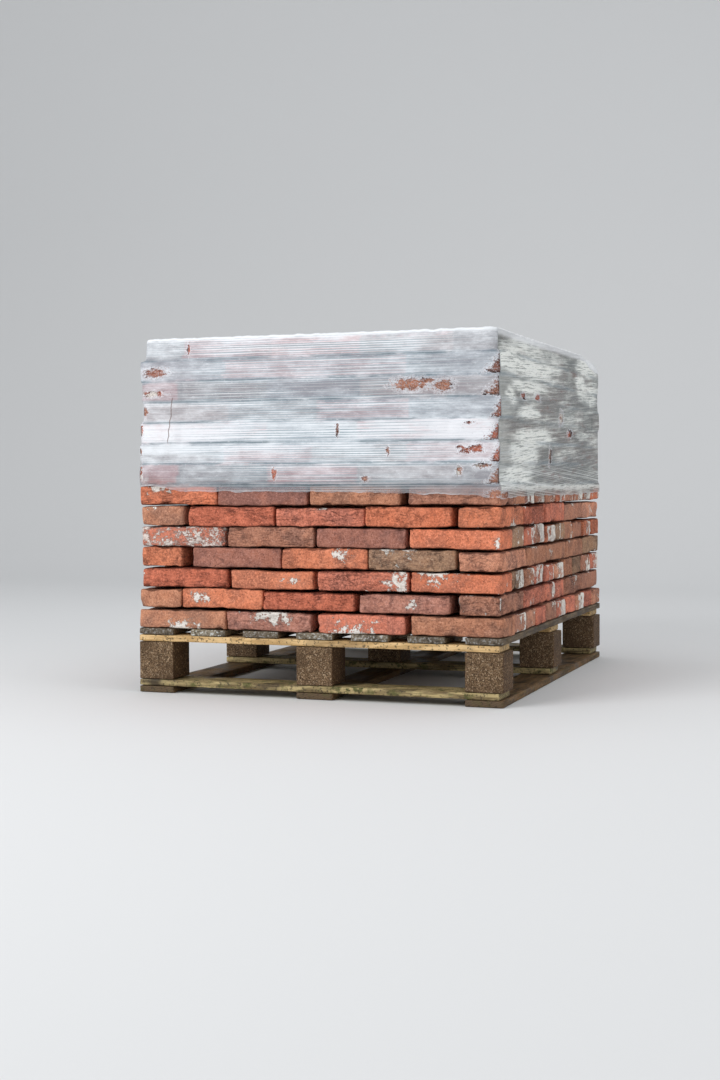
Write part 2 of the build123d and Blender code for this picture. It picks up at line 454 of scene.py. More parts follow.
def chipboard():
    f = Finish("pressed chips")
    place, unit, _ = f.on_worn()
    warp = (f.noise(place, 60, 2, output="Color") - 0.5) * 0.012

    def chip_shares(where, scale):
        """Two numbers that differ from chip to chip."""
        return f.split(f.add("ShaderNodeTexVoronoi", None, {"Vector": where, "Scale": scale}, "Color"))[:2]

    first, second = chip_shares((place + warp) * (1, 1, 1.8), 420)
    third, fourth = chip_shares((place - warp) * (1.9, 1.2, 1), 320)
    colour = f.layers(
        f.mix(first.ramp(0.05, 0.95), (0.036, 0.023, 0.013), (0.2, 0.135, 0.084)),
        (third.ramp(0.6, 0.9) * 0.6, (0.12, 0.072, 0.036)),
        (second.ramp(0.8, 0.88) * 0.6, (0.4, 0.3, 0.19)),
        (fourth.ramp(0.91, 0.93) * 0.6, (0.6, 0.5, 0.38)),
        (f.noise(place, 11, 4).ramp(0.44, 0.64) * 0.55, (0.06, 0.036, 0.018)),
    )
    sawn_side = abs(f.split(unit)[0]).ramp(0.485, 0.497)
    colour = f.mix(sawn_side, colour * (1, 0.9, 0.78), colour * (0.66, 0.52, 0.38))
    height = first * 0.5 + third * 0.5 + f.noise(place, 420, 2) * 0.4
    return f.shade(
        Base_Color=colour, Roughness=0.8 - third * 0.2, Specular_IOR_Level=0.25,
        Normal=f.bump(height, 0.001, 0.8),
    )


chips = chipboard()
block_shape = dict(
    steps=(15, 15, 15), arris=0.002, chips=0.005, wave=0.0004, wave_scale=12.0, grit=0.0006, inset=0.0007,
)
for row in places:
    for column in columns:
        node = f"block_{row}_{column}"
        solids = solids_of(node)
        for solid in solids:
            solid["seed"], solid["turn"] = 20 + 2.9 * len(bpy.data.objects), 0
        wear(f"{node}_chips", solids, node, "chip_block", chips, **block_shape)

# Bricks
# Solid hand-moulded bricks of fired clay, laid dry, with worn arrises and creased faces. They
# come from old walls: mortar clings to many, mostly on their ends. Colours run from orange to plum.

clays = {
    "orange": (0.69, 0.234, 0.129), "bright": (0.7, 0.224, 0.123),
    "red": (0.61, 0.18, 0.108), "scarlet": (0.67, 0.222, 0.144),
    "tan": (0.515, 0.234, 0.144), "rose": (0.5, 0.228, 0.172),
    "salmon": (0.64, 0.292, 0.19), "brown": (0.47, 0.216, 0.144),
    "plum": (0.378, 0.163, 0.121), "olive": (0.42, 0.25, 0.16),
}
# The front row of each open course, left to right: the clay, how much lime clings all over, and how
# far right and up of the middle a splash of lime is, and how wide, as shares of the brick. A brick
# with no lime is given by its clay alone.
front_bricks = {
    1: (("tan", 0.2, 0, -0.95, 0.5), ("rose", 0.25, 0.1, 0.7, 0.6), ("scarlet", 0.15, -0.1, -1, 0.8), "tan"),
    2: ("tan", ("orange", 0.1, -0.45, 0.1, 0.45), "red", ("rose", 0.1, 0.1, 0, 0.3),
        ("brown", 0.2, -0.9, 0.3, 0.4)),
    3: (("red", 0.05, -0.9, 0.3, 0.25), ("orange", 0.1, 0.35, 0.1, 0.35),
        ("scarlet", 0.2, 0.75, -0.1, 0.72), ("bright", 0.2, -0.3, 0.85, 0.6)),
    4: ("orange", "plum", ("orange", 0.1, 0.35, 0.2, 0.42), ("olive", 0.1, -0.3, 1, 0.7), "salmon"),
    5: (("scarlet", 0.8, 0.3, -0.1, 0.3), ("brown", 0.05), "plum", ("bright", 0.1, 0.8, -0.2, 0.35)),
    6: (("tan", 0.2, 0.2, -0.8, 0.5), "red", ("scarlet", 0.1, 0, 0.9, 0.3), "bright",
        ("orange", 0.15, 0.1, -0.9, 0.5)),
    7: (("bright", 0.1, -0.4, 0.8, 0.5), "plum", "tan", "brown"),
}


def brick_clay():
    f = Finish("old brick")
    place, unit, seed = f.on_worn()
    clay, lime, splash = f.read("clay"), f.read("lime"), f.read("splash")
    unit_x, unit_y, unit_z = f.split(unit * 2)
    broad, mottle = f.noise(place, 12, 3, 0.6), f.noise(place, 40, 5, 0.68)
    sand, grain = f.noise(place, 190, 4, 0.78), f.noise(place, 560, 2, 0.7)
    # Some bricks are thrown with many folds, and others are nearly plain.
    folded = f.noise(f.join(seed * 5.1, 3.3, 1.7), 1, 0).ramp(0.42, 0.6)
    # Creases, where the clay folded as it was thrown into the mould. They lie along the brick.
    fold = f.noise(place * (0.55, 1, 2.1), 24, 5, 0.66, 0.5)
    crease = abs(fold - 0.5).ramp(0.011, 0) * broad.ramp(0.42, 0.6)
    small_fold = f.noise(place * (0.45, 1, 2.4), 62, 4, 0.65, 0.4)
    crease = crease.most(abs(small_fold - 0.48).ramp(0.014, 0) * mottle.ramp(0.45, 0.62) * 0.9)
    crease = crease * (0.15 + folded * 0.85)
    lumps = (abs(fold - 0.5) * 2.2 + abs(small_fold - 0.5) * 0.9) * (0.4 + folded * 0.6)
    pits = f.add("ShaderNodeTexVoronoi", None, {"Vector": place, "Scale": 150}, "Distance").ramp(0.2, 0.08)
    pits = pits * f.noise(place, 60, 1).ramp(0.48, 0.6)

    face_lime, end_lime, edge_lime = f.split(lime)
    right, up, width = f.split(splash)
    at_end = abs(unit_x).ramp(0.955, 0.99)
    near = f.sum("LENGTH", f.join(unit_x - right, 0, (unit_z - up) * 0.35), output=1)
    near = (1 - near / width.most(0.001)).most(0)
    at_edge = abs(unit_z).ramp(0.72, 1)
    # On the ends the mortar stands in upright bands, heaviest towards one side.
    stripe = f.noise(place * (13, 26, 19), 1, 5, 0.7)
    banded = end_lime * (1 + unit_y * 0.9) * 0.68 + (stripe - 0.5) * 3.2 * end_lime.ramp(0, 0.3)
    amount = (face_lime + near * 0.85) * (1 - at_end) + banded * at_end + at_edge * edge_lime
    patch = f.noise(place, 50, 8, 0.76)
    limed = (patch - (0.725 - amount * 0.3)).ramp(0, 0.016)
    # On a brick limed all over, the lime is worn to fine spots.
    spots = f.noise(place * (0.7, 1, 1), 62, 8, 0.84).ramp(0.485, 0.545)
    spotted = face_lime.ramp(0.5, 0.7)
    limed = (limed * (1 - spotted)).most(spots * spotted * 0.9)
    haze = f.noise(place, 80, 5, 0.72).ramp(0.4, 0.66) * amount.least(1) * 0.3
    chalk = f.mix(sand.ramp(0.3, 0.7), (0.84, 0.8, 0.73), (1, 0.98, 0.93))
    # How near a point lies to the jagged top and bottom edges, where the shadow of the joints is painted.
    shadowed_edge = abs(unit_z) + (sand - 0.5) * 0.45 + (mottle - 0.5) * 0.5
    dirt = f.noise(place, 26, 6, 0.78).ramp(0.56, 0.64) * 0.55
    colour = f.layers(
        f.mix(mottle.ramp(0.36, 0.64), clay * (1.14, 1.14, 1.1), clay * (0.84, 0.8, 0.78)),
        (broad.ramp(0.5, 0.62) * 0.6, clay * (0.6, 0.68, 0.78)),
        (broad.ramp(0.44, 0.34) * 0.45, clay * (1.25, 1.1, 0.95)),
        (sand.ramp(0.53, 0.62) * 0.75, clay * (1.42, 1.62, 1.75)),
        (sand.ramp(0.46, 0.37) * 0.8, clay * (0.46, 0.42, 0.42)),
        (dirt, clay * (0.36, 0.38, 0.44)),
        # Painted shade in the creases and pits.
        ((crease * 0.85).most(pits * 0.8), clay * (0.2, 0.18, 0.2)),
        (haze, (0.56, 0.4, 0.32)),
        (limed * 0.92, chalk),
        # Painted shade in the hollows of the folds.
        (lumps.ramp(0.22, 0.03) * folded * 0.25, clay * (0.4, 0.36, 0.38)),
        # Painted shadow of the joints along the top and bottom edges.
        (shadowed_edge.ramp(0.9, 1.04) * (1 - limed) * 0.75, clay * (0.16, 0.14, 0.15)),
    )
    height = lumps + mottle * 0.5 + sand * 0.26 + grain * 0.06 - crease * 0.3 - pits * 0.45
    height = height + limed * (0.22 + sand * 0.3)
    return f.shade(
        Base_Color=colour, Roughness=0.7 + 0.22 * sand.ramp(0.3, 0.7), Specular_IOR_Level=0.15,
        Normal=f.bump(height, 0.0048),
    )


old_brick = brick_clay()
chance = random.Random(31)
darker = ("brown", "red", "scarlet", "red", "brown", "plum")
common = (
    "orange", "bright", "red", "scarlet", "scarlet", "tan",
    "salmon", "brown", "brown", "plum", "red", "olive",
)
front_edge = -0.47
course_count = sum(node.startswith("brick_course_") for node in frame["nodes"])
film_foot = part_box("stretch_film")[0].z
seen_steps, hidden_steps = (23, 13, 8), (13, 7, 5)
brick_shape = dict(
    arris=0.0056, chips=0.021, bow=0.006, lean=0.0022,
    wave=0.004, wave_scale=14.0, grit=0.0016, inset=0.0004,
)

for course in range(1, course_count + 1):
    node = f"brick_course_{course:02d}"
    bricks = solids_of(node)
    bricks.sort(key=lambda b: (round(b["place"].x, 3), round(b["place"].y, 3)))
    in_front = [b for b in bricks if b["place"].y - b["size"].x * abs(math.sin(b["turn"])) / 2 < front_edge]
    for brick in bricks:
        brick["seed"] = chance.uniform(0, 60)
        # From course 8 up the bricks take darker clays, which also paint the shade on the bricks seen
        # through the tears.
        kinds = common if course < 8 else darker
        brick["clay"] = Vector(clays[chance.choice(kinds)]) * chance.uniform(0.8, 1.06)
        ends = chance.choice((0, 0.5, 0.95, 1.25)) * chance.uniform(0.7, 1.2)
        brick["lime"] = Vector((chance.choice((0, 0, 0.15, 0.3)), ends, chance.uniform(0, 0.3)))
        brick["splash"] = Vector((chance.uniform(-1, 1), chance.uniform(-1, 1), chance.uniform(0, 0.5)))
    for brick, given in zip(in_front, front_bricks.get(course, ())):
        clay, lime, *splash = (given, 0) if isinstance(given, str) else given
        brick["clay"], brick["splash"] = Vector(clays[clay]), Vector(splash or (0, 0, 0))
        brick["lime"] = Vector((lime, lime, 0.1))
    for brick in bricks:
        # A brick is up to this much thinner than its course, and lies on its lower side.
        slack = chance.choice((0.0014, 0.003, 0.0048, 0.0066)) * chance.uniform(0.8, 1.1)
        brick["size"].z -= slack
        brick["place"].z -= slack / 2
    is_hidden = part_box(node)[0].z > film_foot and course < course_count
    steps = hidden_steps if is_hidden else seen_steps
    wear(f"bricks_{course:02d}", bricks, node, "brick", old_brick, steps, **brick_shape)

core = Finish("core clay")
spot = core.add("ShaderNodeTexCoord", output="Object")
fired = core.mix(core.noise(spot, 26, 4), (0.52, 0.17, 0.09), (0.3, 0.11, 0.065))
core_materials = frame["nodes"]["brick_core"].data.materials
core_materials.clear()
core_materials.append(core.shade(
    Base_Color=fired, Roughness=0.88, Specular_IOR_Level=0.15,
    Normal=core.bump(core.noise(spot, 190, 4), 0.002),
))

# Stretch film
# Clear polyethylene film, 0.02 mm thick, wound round the upper courses by hand in several turns and
# folded over their top edge. Milky with damp, ridged along its stretch, torn where bricks rub it.

film_fold = 0.1
mouth_corner = 0.06
film_low, film_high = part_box("stretch_film")
stack_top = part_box(f"brick_course_{course_count:02d}")[1].z
film_tail, seam_share = 11, 0.86
station_gap, corner_length = 0.0072, 0.042
row_height = 0.0054
reach_out, reach_in = 0.03, 0.14
no_clay = 0.03
rim_flat = 0.01
sides = ("left", "front", "right", "back")


def film_stations():
    """Places round the load: on its outer box, the heart that each faces away from, and its side."""
    corners = [(film_low.x, film_high.y), film_low.xy, (film_high.x, film_low.y), film_high.xy]
    close = [0, 0.0025, 0.005, 0.008, 0.0115, 0.0155, 0.02, 0.0265, 0.034]
    inset = film_fold + mouth_corner
    ring = []
    for side, (start, end) in enumerate(zip(corners, corners[1:] + corners[:1])):
        start, end = Vector(start), Vector(end)
        length = (end - start).length
        along = (end - start) / length
        inward = Vector((-along.y, along.x))
        steps = round((length - 2 * corner_length) / station_gap)
        between = np.linspace(corner_length, length - corner_length, steps)
        for d in (*close, *between, *(length - d for d in close[:0:-1])):
            heart = start + along * min(max(d, inset), length - inset) + inward * inset
            ring.append((*(start + along * d), *heart, side))
    seam = round(len(ring) * seam_share)
    ring = ring[seam:] + ring[:seam]
    return np.array(ring + ring[:film_tail])


def skin_of(pieces):
    """A tree for casting rays at the surface of several pieces."""
    corners, faces = [], []
    for piece in pieces:
        first = len(corners)
        corners += [v.co.copy() for v in piece.data.vertices]
        faces += [[first + i for i in p.vertices] for p in piece.data.polygons]
    return BVHTree.FromPolygons(corners, faces)


def clay_by_face(piece):
    """The colour of the clay at each face of a piece."""
    clay = np.empty(3 * len(piece.data.vertices))
    piece.data.attributes["clay"].data.foreach_get("vector", clay)
    return clay.reshape(-1, 3)[[face.vertices[0] for face in piece.data.polygons]]


def bridge(depth, radius, rows):
    """The profile of film that spans the gaps between the courses and bends no tighter than radius."""
    drop = {step: (step * row_height) ** 2 / (2 * radius) for step in range(-rows, rows + 1)}

    def shifted(field, step):
        padded = np.pad(field, ((0, 0), (rows, rows)), mode="edge")
        return padded[:, rows + step:rows + step + field.shape[1]]

    high = np.max([shifted(depth, step) - less for step, less in drop.items()], axis=0)
    return np.min([shifted(high, step) + less for step, less in drop.items()], axis=0)


def straight(depth):
    """The profile of film pulled straight from the most outward course to the next."""
    result = np.empty_like(depth)
    rows = np.arange(depth.shape[1])
    for profile, line in zip(depth, result):
        held = []
        for row in rows:
            while len(held) > 1 and (
                (profile[held[-1]] - profile[held[-2]]) * (row - held[-2])
                <= (profile[row] - profile[held[-2]]) * (held[-1] - held[-2])
            ):
                held.pop()
            held.append(row)
        line[:] = np.interp(rows, held, profile[held])
    return result


def taut(depth):
    """How far film pulled tight round each row stands from the hearts."""
    result = np.empty_like(depth)
    for row in range(depth.shape[1]):
        points = hearts + ways * depth[:, row, None]
        hull = points[geometry.convex_hull_2d(points.tolist())]
        run = np.roll(hull, -1, axis=0) - hull
        out = np.stack((run[:, 1], -run[:, 0]), axis=1)
        facing = ways @ out.T
        room = (out * hull).sum(axis=1) - hearts @ out.T
        result[:, row] = np.where(facing > 1e-9, room / np.maximum(facing, 1e-9), 9).min(axis=1)
    return result


def smooth_along(field, width):
    """A field made smooth round the load."""
    kernel = np.exp(-np.linspace(-2, 2, 2 * width + 1) ** 2)
    kernel /= kernel.sum()

    def smooth(line):
        return np.convolve(np.pad(line, width, mode="wrap"), kernel, "valid")

    return np.apply_along_axis(smooth, 0, field)


def ripple(u, v=0, w=0):
    """Smooth chance between -1 and 1."""
    points = np.stack(np.broadcast_arrays(u, v, w), axis=-1)
    return np.reshape([noise.noise(Vector(point)) for point in points.reshape(-1, 3)], points.shape[:-1])


ring = film_stations()
count = len(ring)
stations = np.arange(count)
spots, hearts, side_of = ring[:, :2], ring[:, 2:4], ring[:, 4].astype(int)
on = {side: side_of == number for number, side in enumerate(sides)}
from_right, from_back = film_high.x - spots[:, 0], film_high.y - spots[:, 1]
ways = (spots - hearts) / np.linalg.norm(spots - hearts, axis=1)[:, None]
wrap = np.concatenate(([0], np.linalg.norm(np.diff(spots, axis=0), axis=1).cumsum()))
wrapped_bricks = [
    piece for piece in bpy.data.objects
    if piece.name.startswith("bricks_") and max(v.co.z for v in piece.data.vertices) > film_low.z
]
skin = skin_of(wrapped_bricks)
row_z = np.arange(film_low.z - 0.015, stack_top - 0.004, row_height)
clay_of_face = np.concatenate([clay_by_face(piece) for piece in wrapped_bricks])
depth = np.zeros((count, len(row_z)))
under = np.full((count, len(row_z), 3), no_clay)
for i, (spot, heart, way) in enumerate(zip(spots, hearts, ways)):
    start, inward = spot + way * reach_out, (-way[0], -way[1], 0)
    for k, z in enumerate(row_z):
        hit, _, face, _ = skin.ray_cast((*start, z), inward, reach_out + reach_in)
        if hit:
            depth[i, k] = (np.array(hit.xy) - heart) @ way
            under[i, k] = clay_of_face[face]

for k in range(len(row_z)):
    # The film is too taut to show what lies in a joint between two bricks.
    seen = np.flatnonzero(under[:, k].max(axis=1) > no_clay + 0.001)
    if len(seen):
        under[:, k] = under[seen[np.abs(seen - stations[:, None]).argmin(axis=1)], k]
# Where the top course has lost its back right corner brick, the film rounds over the hollow.
top_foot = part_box(f"brick_course_{course_count - 1:02d}")[1].z
lost_width, lost_length = 0.122, 0.25


def slope(x, y):
    """How far the film falls below the top of the stack at a place."""
    share = 1 - (film_high.x - x) / lost_width - (film_high.y - y) / lost_length
    return 0.0015 * (share + np.sqrt(share * share + 0.02))


corner_away = np.hypot(from_right, from_back)
below = np.searchsorted(row_z, top_foot - 0.006)
in_void = (corner_away < lost_length + 0.03)[:, None] & (row_z > top_foot - 0.006)
outmost = depth[:, below - 6:below + 1].max(axis=1)[:, None]
depth = np.where(in_void, np.maximum(depth, outmost), depth)
around = np.pad(depth, ((1, 1), (1, 1)), mode="edge")
windows = [around[i:i + count, k:k + len(row_z)] for i in range(3) for k in range(3)]
touched = np.max(windows, axis=0)
tight, loose = bridge(depth, 0.006, 8), bridge(depth, 0.08, 16)
loose_share = np.clip(0.25 + 1.2 * ripple(wrap[:, None] * 2.2, row_z * 16), 0, 1)
hull = taut(tight) * (1 - loose_share) + taut(loose) * loose_share
# At the back right corner the film stands straight up from course to course.
straight_share = np.clip(1.3 - corner_away / 0.6, 0, 1)[:, None]
hull = hull * (1 - straight_share) + straight(taut(tight)) * straight_share
sunk = np.minimum(hull - tight, 0.005)
film_depth = hull - 0.45 * smooth_along(sunk, 6)
film_depth += 0.0007 * ripple(wrap[:, None] * 6, row_z * 75 - wrap[:, None] * 9)
film_depth = np.maximum(film_depth, np.maximum(tight + 0.0009, touched + 0.0012))
beside = np.pad(depth, ((4, 4), (0, 0)), mode="wrap")
covered = np.max([beside[i:i + count] for i in range(9)], axis=0)
gap = np.clip((film_depth - covered) / 0.006, 0, 1)

# How high the film's lower edge runs: the side, how far along it, and the height.
foot_heights = {
    "left": ((0, 0.53), (0.5, 0.52), (1, 0.545)),
    "front": ((0, 0.549), (0.07, 0.546), (0.12, 0.534), (0.6, 0.532), (0.93, 0.524), (1, 0.516)),
    "right": ((0, 0.514), (0.15, 0.52), (0.7, 0.517), (1, 0.522)),
    "back": ((0, 0.522), (0.4, 0.535), (1, 0.53)),
}
share_x, share_y = ((spots - film_low.xy) / (film_high - film_low).xy).T
share_along = np.choose(side_of, (1 - share_y, share_x, share_y, 1 - share_x))
foot = np.array([np.interp(a, *zip(*foot_heights[sides[s]])) for s, a in zip(side_of, share_along)])
foot += 0.0035 * ripple(wrap * 24, 0, 3) + 0.0025 * ripple(wrap * 70, 0, 5)

side_rows, rim_rows, fold_rows = 72, 9, 17
in_hollow = np.hypot(from_right / lost_width, from_back / lost_length)
rounded = np.clip(1.25 * (1.02 - in_hollow), 0, 1)
rim_radius = 0.007 + 0.041 * rounded * rounded * (3 - 2 * rounded)
rim_bump = 0.0022 * ripple(wrap * 42, 0, 8) + 0.0012 * ripple(wrap * 110, 0, 9)
drop = slope(*spots.T)
top = stack_top + 0.0035 + rim_bump - drop
# For each row of the sheet from its foot: how far out it is, its height, its height on the flat
# sheet, the gap behind it and the clay behind it.
film_rows = []
for k in range(side_rows + 1):
    z = foot + (top - rim_radius - foot) * k / side_rows
    out, space = (
        np.array([np.interp(level, row_z, row) for level, row in zip(z, field)])
        for field in (film_depth, gap)
    )
    nearest = np.clip(np.round((z - row_z[0]) / row_height).astype(int), 0, len(row_z) - 1)
    film_rows.append((out, z, z + drop * (k / side_rows) ** 2, space, under[stations, nearest]))
shoulder = smooth_along(film_rows[-1][0], 3)
same = np.ones(count)
for k in range(1, rim_rows + 1):
    angle = math.pi / 2 * k / rim_rows
    out = shoulder - rim_radius * (1 - math.cos(angle)) + rim_bump * math.sin(angle)
    z = top - rim_radius * (1 - math.sin(angle))
    flat = stack_top + rim_flat * k / rim_rows
    film_rows.append((out, z, flat * same, 0.9 * same, np.full((count, 3), 0.6)))
rim = shoulder - rim_radius
is_corner = np.abs(ways).max(axis=1) <= 0.9999
mouth = mouth_corner + 0.006 * ripple(wrap * 7, 0, 2) + 0.003 * ripple(wrap * 30, 0, 4)
corner_share = smooth_along(is_corner, 8)
pleat = np.sin(wrap * (150 + 40 * ripple(wrap * 1.5, 0, 6)) + 4 * ripple(wrap * 5, 0, 7))
pleat_height = 0.0008 + 0.0022 * corner_share
for k in range(1, fold_rows + 1):
    share = k / fold_rows
    out = rim + (mouth - rim) * share
    points = hearts + ways * out[:, None]
    rest, tint = [], []
    for x, y in points:
        hit, _, face, _ = skin.ray_cast((x, y, stack_top + 0.05), (0, 0, -1), 0.12)
        rest.append(max(hit.z if hit else 0, stack_top - 0.005 - slope(x, y)))
        tint.append(clay_of_face[face] if hit else (0.05, 0.03, 0.02))
    rest = np.maximum(smooth_along(rest, 4), rest)
    settle = min(1, share * 4)
    lift = (1 + pleat) * pleat_height * (0.3 + 0.7 * share)
    z = (top - 0.0005) * (1 - settle) + (rest + 0.0012) * settle + lift * settle
    film_rows.append((out, z, (stack_top + rim_flat + film_fold * share) * same, 0.25 * same, tint))

out, height, flat_height, gap, clay_under = (np.array(part) for part in zip(*film_rows))
tail_lift = 0.0014 * (stations >= count - film_tail)
place = hearts + ways * (out + tail_lift)[:, :, None]
corners = np.concatenate((place, height[:, :, None]), axis=2).reshape(-1, 3)
faces = [
    (first, first + 1, first + count + 1, first + count)
    for row in range(len(film_rows) - 1) for first in range(row * count, row * count + count - 1)
]

mm = 1000
sideways = np.where(on["front"] | on["back"], *spots.T) * mm


def away_from(at, level, width, rise):
    """How far each corner of the sheet is from a place, in widths along it and rises up it."""
    return np.hypot((sideways - at) / width, (height * mm - level) / rise)


# Where bricks have torn the film, on each side, in millimetres: how far along it from the middle,
# the height, and how far the tear spreads from there, sideways and up.
tears = {
    "front": (
        (258, 800, 52, 19), (345, 796, 34, 18), (-450, 846, 45, 15), (-455, 790, 42, 10),
        (-476, 744, 12, 16), (-490, 695, 9, 20), (-497, 640, 6, 14), (-494, 583, 8, 26), (65, 691, 6, 24),
        (-109, 579, 9, 22), (142, 566, 14, 9), (-349, 903, 6, 20), (432, 640, 24, 13), (386, 585, 10, 16),
        (403, 633, 20, 8), (388, 643, 13, 6), (445, 598, 28, 9), (412, 702, 22, 4), (305, 809, 26, 9),
        (480, 528, 26, 12), (200, 636, 7, 14),
    ),
    "right": (
        (-575, 524, 30, 12), (-349, 778, 32, 10), (-185, 781, 36, 11), (64, 735, 34, 22),
        (-45, 626, 22, 28), (195, 694, 40, 13),
    ),
    "left": ((420, 800, 25, 14), (-555, 740, 20, 18), (100, 640, 30, 12), (-580, 850, 18, 20)),
    "back": ((310, 690, 30, 16), (-455, 800, 24, 18), (-60, 860, 18, 10), (470, 580, 18, 20)),
}
torn = np.zeros(height.shape)
for side, places_torn in tears.items():
    for place in places_torn:
        strain = 1.6 - away_from(*place) * 0.8
        torn = np.maximum(torn, np.where(on[side], strain, 0))
# Along the front right edge each course has torn a wedge, widest at the course's foot: its height,
# how wide it is and how far it rises.
for level, width, rise in (
    (826, 46, 50), (772, 50, 48), (719, 28, 50), (664, 42, 52), (610, 32, 50), (556, 42, 46),
):
    inward, up = (496 - sideways) / width, (height * mm - level) / rise
    away = np.maximum(inward + up, np.maximum(-inward * 8, -up * 9 + 0.2))
    torn = np.maximum(torn, np.where(on["front"], 1.85 - away, 0))

# How white the film is at each course, from its foot up, on the front and on a side like the right one, and
# how much each side is like that one.
# On the front this is the film's own milkiness with a painted sheen on the whitest courses; on the sides it
# is painted shade and painted sheen.
course_heights = [0.52, 0.545, 0.58, 0.63, 0.69, 0.74, 0.79, 0.845, 0.9, 0.945]
front_milk_and_sheen = [0.18, 0.26, 0.34, 0.48, 0.76, 0.38, 0.15, 0.34, 0.46, 0.85]
side_shade_and_sheen = [0.44, 0.46, 0.36, 0.44, 0.38, 0.36, 0.36, 0.5, 0.54, 0.8]
side_shade_likeness = {"left": 0.55, "front": 0, "right": 1, "back": 0.35}
side_shade_share = smooth_along([side_shade_likeness[sides[s]] for s in side_of], 2)
# This whiteness keeps nearly the same within a course, and changes at the joints.
bed_foot, bed_pitch = 0.172, 0.0543
course_place = (height - bed_foot) / bed_pitch
off_middle = 2 * (course_place - np.floor(course_place)) - 1
level_height = bed_foot + (np.floor(course_place) + 0.5 + 0.5 * off_middle ** 3) * bed_pitch
milk_shade_and_sheen = np.interp(level_height, course_heights, front_milk_and_sheen) * (1 - side_shade_share)
milk_shade_and_sheen += np.interp(level_height, course_heights, side_shade_and_sheen) * side_shade_share
milk_shade_and_sheen[side_rows + rim_rows + 1:] = 0.42 + 0.25 * ripple(wrap * 9, np.arange(fold_rows)[:, None] * 0.35, 4)
# Next to the front corner the right side is painted a smooth, even grey shade.
from_corner = np.hypot(from_right, spots[:, 1] - film_low.y)
# Where painted highlights lie on the right side, in millimetres as for the tears.
highlight_spots = (
    (-270, 874, 230, 40), (-550, 862, 50, 18), (-290, 805, 140, 11), (-500, 770, 50, 18),
    (-320, 735, 80, 11), (-200, 670, 190, 21), (-330, 630, 130, 26), (-420, 572, 120, 18),
    (0, 540, 600, 6), (450, 820, 100, 28), (330, 850, 60, 16), (350, 690, 60, 9), (420, 893, 120, 18),
    (-100, 902, 160, 10),
)
white = np.zeros(height.shape)
for place in highlight_spots:
    white = np.maximum(white, np.clip(1.7 - away_from(*place), 0, 1))
# Below the top, the right side is painted a dark grey shade with the painted highlights.
on_right = on["right"] & (height < stack_top)
milk_shade_and_sheen = np.where(on_right, 0.14 + 0.78 * white, milk_shade_and_sheen)
calm_shade = np.exp(-(from_corner / 0.16) ** 2) * on["right"] * np.clip((0.86 - height) / 0.03, 0, 1)
calm_shade *= 1 - white

# Streaks run twice as long on the sides as on the front.
grain = np.concatenate(([0], (np.diff(wrap) * (1 - 0.5 * np.clip(side_shade_share[1:] * 2, 0, 1))).cumsum()))

mesh = bpy.data.meshes.new("stretch_film_wrap")
mesh.from_pydata(corners, [], faces)
mesh.shade_smooth()
kept = {
    "wrap": np.stack(np.broadcast_arrays(grain, flat_height, side_shade_share), axis=2), "under": clay_under,
    "torn": torn, "milk_shade_and_sheen": milk_shade_and_sheen, "gap": gap, "rise": height - foot, "calm_shade": calm_shade,
}
for name, values in kept.items():
    note(mesh, name, values)


